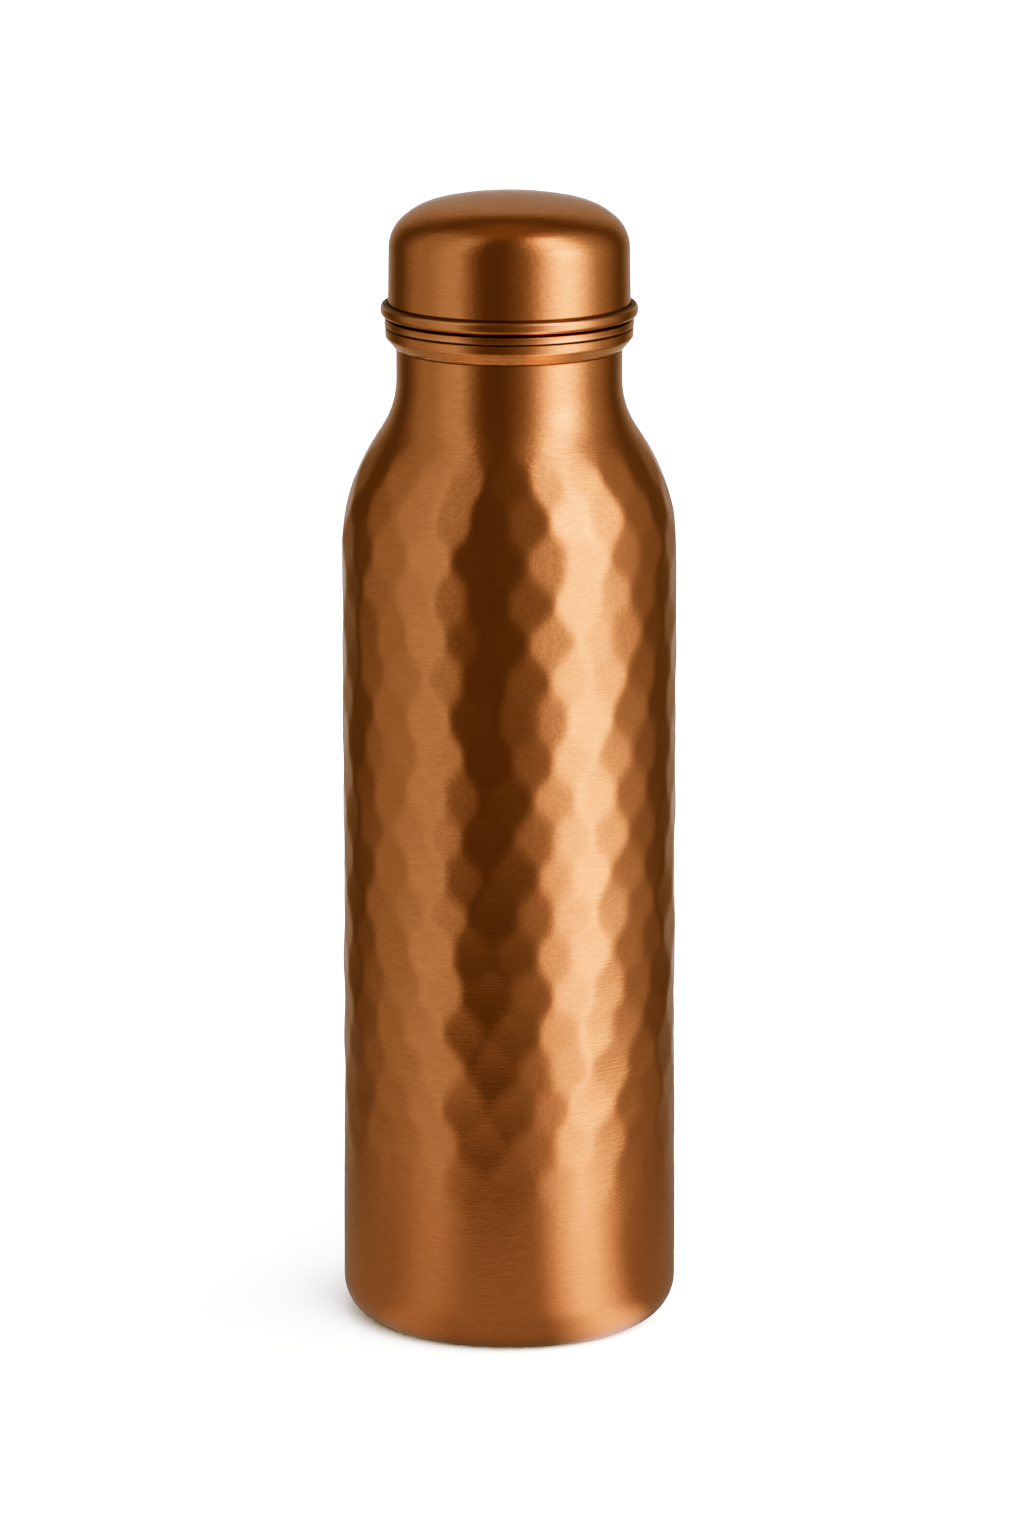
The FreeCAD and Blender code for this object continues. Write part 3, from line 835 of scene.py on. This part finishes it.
def studio_world():
    """White to the camera, soft light for the floor, and panels for the metal to mirror."""
    world = bpy.data.worlds.new("studio")
    bpy.context.scene.world = world
    world.use_nodes = True
    tree = world.node_tree
    tree.nodes.clear()
    way = node(tree, "ShaderNodeTexCoord").outputs["Generated"]
    x, y, z = node(tree, "ShaderNodeSeparateXYZ", {0: way}).outputs
    azimuth = azimuth_of(tree, x, y)
    height = maths(tree, "ARCSINE", z)
    edge, top = CEILING_EDGE
    above = ramp(tree, height, math.radians(edge), math.radians(top), GLOOM, GLOOM + CEILING)
    room = tinted(tree, WARM, above)
    for middle, half, soft, level, half_height, soft_height, brightness, tint in PANELS.values():
        off = maths(tree, "SUBTRACT", azimuth, math.radians(middle))
        aside = node(tree, "ShaderNodeMath", {0: off, 1: math.pi, 2: -math.pi},
                     operation="WRAP").outputs[0]
        away = maths(tree, "SUBTRACT", height, math.radians(level))
        across = within(tree, aside, half, soft)
        up = within(tree, away, half_height, soft_height)
        shine = maths(tree, "MULTIPLY", maths(tree, "MULTIPLY", across, up), brightness)
        panel = tinted(tree, tint, shine)
        room = node(tree, "ShaderNodeVectorMath", {0: room, 1: panel}, operation="ADD").outputs[0]
    source = (FLOOR_LIGHT_LEAN * math.sin(FLOOR_LIGHT_FROM),
              -FLOOR_LIGHT_LEAN * math.cos(FLOOR_LIGHT_FROM), 0)
    towards = node(tree, "ShaderNodeVectorMath", {0: way, 1: source}, operation="DOT_PRODUCT")
    leaning = maths(tree, "POWER", maths(tree, "ADD", towards.outputs["Value"], 1.0),
                    FLOOR_LIGHT_FOCUS)
    ray = node(tree, "ShaderNodeLightPath").outputs
    lit = mixed(tree, ray["Is Diffuse Ray"], background(tree, room, 1.0),
                background(tree, leaning, FLOOR_LIGHT))
    shown = mixed(tree, ray["Is Camera Ray"], lit, background(tree, PAPER, 1.0))
    output = node(tree, "ShaderNodeOutputWorld")
    tree.links.new(shown, output.inputs["Surface"])


def floor():
    """A plain white floor, clear from below; the metal mirrors only the part near the bottle, and
    sees it as a painted glow.
    """
    mesh = bpy.data.meshes.new("floor")
    corners = [(-FLOOR_HALF, -FLOOR_HALF, 0), (FLOOR_HALF, -FLOOR_HALF, 0),
               (FLOOR_HALF, FLOOR_HALF, 0), (-FLOOR_HALF, FLOOR_HALF, 0)]
    mesh.from_pydata(corners, [], [(0, 1, 2, 3)])
    piece = bpy.data.objects.new("floor", mesh)
    bpy.context.scene.collection.objects.link(piece)
    material, tree, shader = new_material("floor_white")
    shader.inputs["Base Color"].default_value = FLOOR_COLOUR
    shader.inputs["Roughness"].default_value = 1.0
    shader.inputs["Specular IOR Level"].default_value = 0.0
    place = node(tree, "ShaderNodeTexCoord").outputs["Object"]
    away = node(tree, "ShaderNodeVectorMath", {0: place}, operation="LENGTH").outputs["Value"]
    seen = maths(tree, "MULTIPLY", ramp(tree, away, *FLOOR_MIRROR_REACH, 1.0, 0.0),
                 ramp(tree, away, *FLOOR_MIRROR_HOLE, 0.0, 1.0))
    clear = node(tree, "ShaderNodeBsdfTransparent").outputs[0]
    x, y, _ = node(tree, "ShaderNodeSeparateXYZ", {0: place}).outputs
    azimuth = azimuth_of(tree, x, y)
    # a painted reflection: the floor glows for the metal, brighter towards the panels
    lit = FLOOR_MIRROR
    for middle, half, soft, extra in FLOOR_MIRROR_SIDES:
        off = maths(tree, "SUBTRACT", azimuth, math.radians(middle))
        side = maths(tree, "MULTIPLY", within(tree, off, half, soft), extra)
        lit = maths(tree, "ADD", lit, side)
    # painted shade beside the foot, and dimmer towards the back
    shade = maths(tree, "MULTIPLY", ramp(tree, away, *FLOOR_MIRROR_SHADE, FLOOR_MIRROR_FOOT, 1.0),
                  ramp(tree, y, *FLOOR_MIRROR_LEAN))
    brightness = maths(tree, "MULTIPLY", lit, shade)
    glow = node(tree, "ShaderNodeEmission", {0: PAPER, 1: brightness}).outputs[0]
    mirrored = mixed(tree, seen, clear, glow)
    glossy = node(tree, "ShaderNodeLightPath").outputs["Is Glossy Ray"]
    shown = mixed(tree, glossy, shader.outputs[0], mirrored)
    under = node(tree, "ShaderNodeNewGeometry").outputs["Backfacing"]
    open_below = mixed(tree, under, shown, clear)
    tree.links.new(open_below, tree.nodes["Material Output"].inputs["Surface"])
    mesh.materials.append(material)


def camera():
    """In front of the bottle and looking a little down at it."""
    data = bpy.data.cameras.new("camera")
    data.sensor_width = SENSOR_WIDTH
    data.lens = LENS
    data.clip_start = NEAREST
    data.clip_end = FARTHEST
    eye = bpy.data.objects.new("camera", data)
    eye.location = EYE_PLACE
    eye.rotation_euler = (EYE_TILT, 0, 0)
    bpy.context.scene.collection.objects.link(eye)
    bpy.context.scene.camera = eye


film_response()
camera()
studio_world()
floor()
build_pieces()
